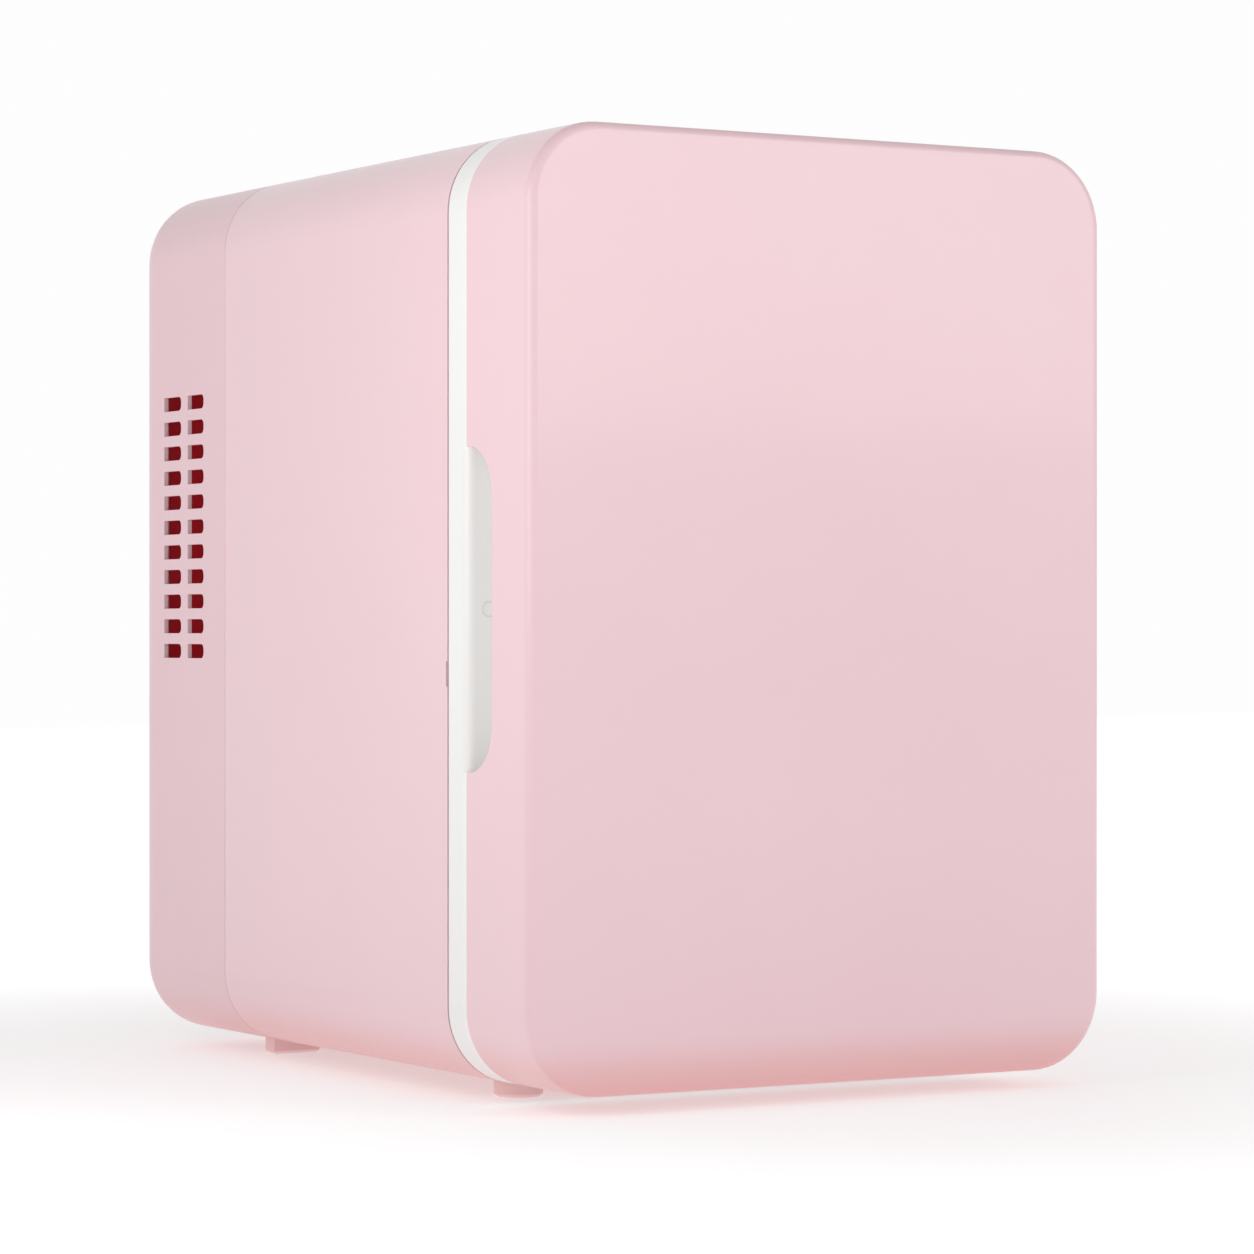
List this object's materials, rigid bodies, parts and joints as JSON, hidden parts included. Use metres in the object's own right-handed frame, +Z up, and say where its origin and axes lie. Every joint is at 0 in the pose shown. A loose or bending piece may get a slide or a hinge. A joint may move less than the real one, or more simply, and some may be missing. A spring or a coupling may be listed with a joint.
{
  "type": "mini fridge",
  "caption": "Small free-standing thermoelectric fridge with a side-hung door, finger grip, vented rear cover, carrying handle, sockets and switch.",
  "frame": {"origin": "on the floor under the middle of the whole fridge, feet included", "axes": "+Z up, the door faces -Y, +X towards the door's hinge side"},
  "size_m": [0.176, 0.24, 0.251],
  "materials": {
    "shell_plastic": "moulded ABS with a soft satin gloss",
    "white_plastic": "moulded white ABS, semi gloss",
    "liner_plastic": "vacuum formed polystyrene, smooth",
    "grip_plastic": "moulded ABS, fine matt texture",
    "foam": "closed cell insulating foam",
    "gasket": "soft silicone",
    "aluminium": "mill finish",
    "ceramic": "fired alumina",
    "steel": "zinc plated",
    "black_plastic": "moulded, fine matt",
    "dark_grey": "moulded, fine matt",
    "board": "glass epoxy laminate",
    "lead_red": "insulated lead",
    "lead_black": "insulated lead",
    "lamp_red": "clear tinted lens",
    "lamp_green": "clear tinted lens",
    "brass": "plated contact",
    "magnet": "pressed ferrite",
    "clear_plastic": "clear frosted styrene"
  },
  "bodies": {
    "cabinet": {"outer_shell": "shell_plastic", "front_frame": "white_plastic", "inner_liner": "liner_plastic", "cabinet_foam": "foam", "rear_bulkhead": "white_plastic", "rear_cover": "shell_plastic", "foot_front_left": "grip_plastic", "foot_rear_left": "grip_plastic", "foot_front_right": "grip_plastic", "foot_rear_right": "grip_plastic", "cold_plate": "aluminium", "cold_block": "aluminium", "peltier_module": "ceramic", "module_gasket": "foam", "heat_sink": "aluminium", "heat_sink_screws": "steel", "cover_screws": "steel", "fan_frame": "black_plastic", "fan_screws": "steel", "control_panel": "dark_grey", "lamp_red": "lamp_red", "lamp_green": "lamp_green", "mains_inlet": "black_plastic", "mains_pins": "brass", "dc_inlet": "black_plastic", "dc_pin": "brass", "switch_housing": "black_plastic", "power_board": "board", "board_spacers": "brass", "board_screws": "steel", "transformer": "dark_grey", "capacitors": "aluminium", "module_lead": "lead_red", "fan_lead": "lead_black", "mains_lead": "lead_black", "strike_plate": "steel", "hinge_pin_lower": "steel", "hinge_pin_upper": "steel", "handle_well": "shell_plastic", "handle_pin_left": "steel", "handle_pin_right": "steel"},
    "door": {"door_cap": "shell_plastic", "door_liner": "white_plastic", "door_foam": "foam", "door_gasket": "gasket", "door_magnet": "magnet"},
    "basket": {"door_basket": "clear_plastic"},
    "shelf": {"shelf": "white_plastic"},
    "fan": {"fan_rotor": "black_plastic"},
    "handle": {"carry_handle": "grip_plastic"},
    "rocker": {"switch_rocker": "black_plastic"}
  },
  "joints": [
    {"name": "door_hinge", "type": "hinge", "parent": "cabinet", "child": "door", "pos_m": [0.084, -0.0845, 0.128], "axis": [0, 0, 1], "range_deg": [0, 110]},
    {"name": "handle_lift", "type": "hinge", "parent": "cabinet", "child": "handle", "pos_m": [0, 0.0158, 0.247], "axis": [-1, 0, 0], "range_deg": [0, 90]},
    {"name": "rocker_tilt", "type": "hinge", "parent": "cabinet", "child": "rocker", "pos_m": [0.033, 0.113, 0.037], "axis": [0, 0, 1], "range_deg": [-8, 8]},
    {"name": "fan_spin", "type": "hinge", "parent": "cabinet", "child": "fan", "pos_m": [0, 0.1, 0.1527], "axis": [0, 1, 0], "continuous": true},
    {"name": "shelf_slide", "type": "slide", "parent": "cabinet", "child": "shelf", "axis": [0, -1, 0], "range_m": [0, 0.006]},
    {"name": "basket_lift", "type": "slide", "parent": "door", "child": "basket", "axis": [0, 0, 1], "range_m": [0, 0.012]}
  ]
}
